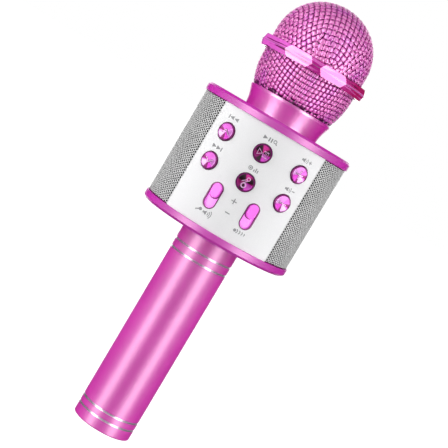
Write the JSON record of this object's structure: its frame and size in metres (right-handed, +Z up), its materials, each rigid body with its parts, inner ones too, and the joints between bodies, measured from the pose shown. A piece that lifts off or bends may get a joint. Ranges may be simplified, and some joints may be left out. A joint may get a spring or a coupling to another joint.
{
  "type": "toy microphone",
  "caption": "Pink karaoke microphone with a woven round head, a drum speaker body with buttons and level sliders, and a straight handle.",
  "frame": {"origin": "centre of the flat end of the handle, on the floor when the microphone stands", "axes": "+Z up the handle towards the woven head, -Y out of the control panel, +X to the right seen from the front"},
  "size_m": [0.0842, 0.0842, 0.251],
  "materials": {
    "handle_anodised": "satin anodised",
    "pink_satin": "satin",
    "pink_metallic": "metallic lacquer",
    "pink_ring": "plated pink",
    "pink_mesh": "painted wire",
    "pink_knob": "satin",
    "silver_panel": "silver lacquer",
    "grille_steel": "perforated sheet, satin",
    "pink_cap": "spun pink plating",
    "dark_pink_cap": "spun dark pink plating",
    "black_plastic": "matte",
    "black_rubber": "matte",
    "black_cloth": "fine weave",
    "black_foam": "open-cell foam",
    "black_paper": "pressed cone",
    "cell_wrap": "shrink wrap",
    "spring_steel": "plated",
    "speaker_steel": "zinc plated",
    "magnet_ferrite": "bare",
    "module_can": "pressed can",
    "capsule_can": "turned can",
    "green_board": "solder mask",
    "led_lens": "clear lens",
    "dark_screws": "black zinc",
    "lead_red": "insulation",
    "lead_black": "insulation"
  },
  "bodies": {
    "housing": {"handle_tube": "handle_anodised", "handle_end_cap": "pink_satin", "battery_holder": "black_plastic", "battery_cell": "cell_wrap", "battery_contacts": "spring_steel", "bottom_cover": "pink_metallic", "top_cover": "pink_metallic", "neck_collar": "pink_metallic", "front_panel": "silver_panel", "rear_panel": "silver_panel", "left_grille": "grille_steel", "right_grille": "grille_steel", "left_dust_cloth": "black_cloth", "right_dust_cloth": "black_cloth", "chassis_front": "black_plastic", "chassis_rear": "black_plastic", "left_speaker_basket": "speaker_steel", "right_speaker_basket": "speaker_steel", "left_speaker_magnet": "magnet_ferrite", "right_speaker_magnet": "magnet_ferrite", "left_speaker_cone": "black_paper", "right_speaker_cone": "black_paper", "control_board": "green_board", "port_board": "green_board", "tact_switches": "black_plastic", "slide_pots": "spring_steel", "bluetooth_module": "module_can", "amplifier_chips": "black_plastic", "capacitors": "module_can", "inductors": "magnet_ferrite", "usb_port": "spring_steel", "card_slot": "spring_steel", "audio_jack": "black_plastic", "power_switch_body": "spring_steel", "status_led": "led_lens", "capsule_post": "black_plastic", "capsule_boot": "black_rubber", "mic_capsule": "capsule_can", "cover_screws": "dark_screws", "neck_screws": "dark_screws", "board_screws": "dark_screws", "mic_lead": "lead_red", "battery_leads": "lead_red", "speaker_leads": "lead_black"},
    "head_carrier": {"foam_liner": "black_foam"},
    "head": {"mesh_dome": "pink_mesh", "mesh_bowl": "pink_mesh", "grille_ring": "pink_ring", "crimp_band": "spring_steel", "head_base": "black_plastic"},
    "previous_button": {"previous_button": "pink_cap"},
    "next_button": {"next_button": "pink_cap"},
    "play_button": {"play_button": "dark_pink_cap"},
    "record_button": {"record_button": "dark_pink_cap"},
    "volume_up_button": {"volume_up_button": "pink_cap"},
    "volume_down_button": {"volume_down_button": "pink_cap"},
    "mic_level_slider": {"mic_level_slider": "pink_knob"},
    "echo_level_slider": {"echo_level_slider": "pink_knob"},
    "power_switch": {"power_switch_knob": "black_plastic"}
  },
  "joints": [
    {"name": "head_lift", "type": "slide", "parent": "housing", "child": "head_carrier", "axis": [0, 0, 1], "range_m": [0, 0.00301]},
    {"name": "head_unscrew", "type": "hinge", "parent": "head_carrier", "child": "head", "pos_m": [0, 0, 0.2165], "axis": [0, 0, 1], "range_deg": [0, 720]},
    {"name": "previous_button_press", "type": "slide", "parent": "housing", "child": "previous_button", "axis": [0, 1, 0], "range_m": [0, 0.0005], "stiffness_N_per_m": 400, "springref_m": -0.0005},
    {"name": "next_button_press", "type": "slide", "parent": "housing", "child": "next_button", "axis": [0, 1, 0], "range_m": [0, 0.0005], "stiffness_N_per_m": 400, "springref_m": -0.0005},
    {"name": "play_button_press", "type": "slide", "parent": "housing", "child": "play_button", "axis": [0, 1, 0], "range_m": [0, 0.0005], "stiffness_N_per_m": 400, "springref_m": -0.0005},
    {"name": "record_button_press", "type": "slide", "parent": "housing", "child": "record_button", "axis": [0, 1, 0], "range_m": [0, 0.0005], "stiffness_N_per_m": 400, "springref_m": -0.0005},
    {"name": "volume_up_button_press", "type": "slide", "parent": "housing", "child": "volume_up_button", "axis": [0, 1, 0], "range_m": [0, 0.0005], "stiffness_N_per_m": 400, "springref_m": -0.0005},
    {"name": "volume_down_button_press", "type": "slide", "parent": "housing", "child": "volume_down_button", "axis": [0, 1, 0], "range_m": [0, 0.0005], "stiffness_N_per_m": 400, "springref_m": -0.0005},
    {"name": "mic_level_slide", "type": "slide", "parent": "housing", "child": "mic_level_slider", "axis": [0, 0, 1], "range_m": [-0.0056, 0]},
    {"name": "echo_level_slide", "type": "slide", "parent": "housing", "child": "echo_level_slider", "axis": [0, 0, 1], "range_m": [-0.0056, 0]},
    {"name": "power_switch_slide", "type": "slide", "parent": "housing", "child": "power_switch", "axis": [0, 0, 1], "range_m": [0, 0.003]}
  ],
  "couplings": [
    {"joint": "head_lift", "follows": "head_unscrew", "m_per_rad": 0.00023873}
  ]
}
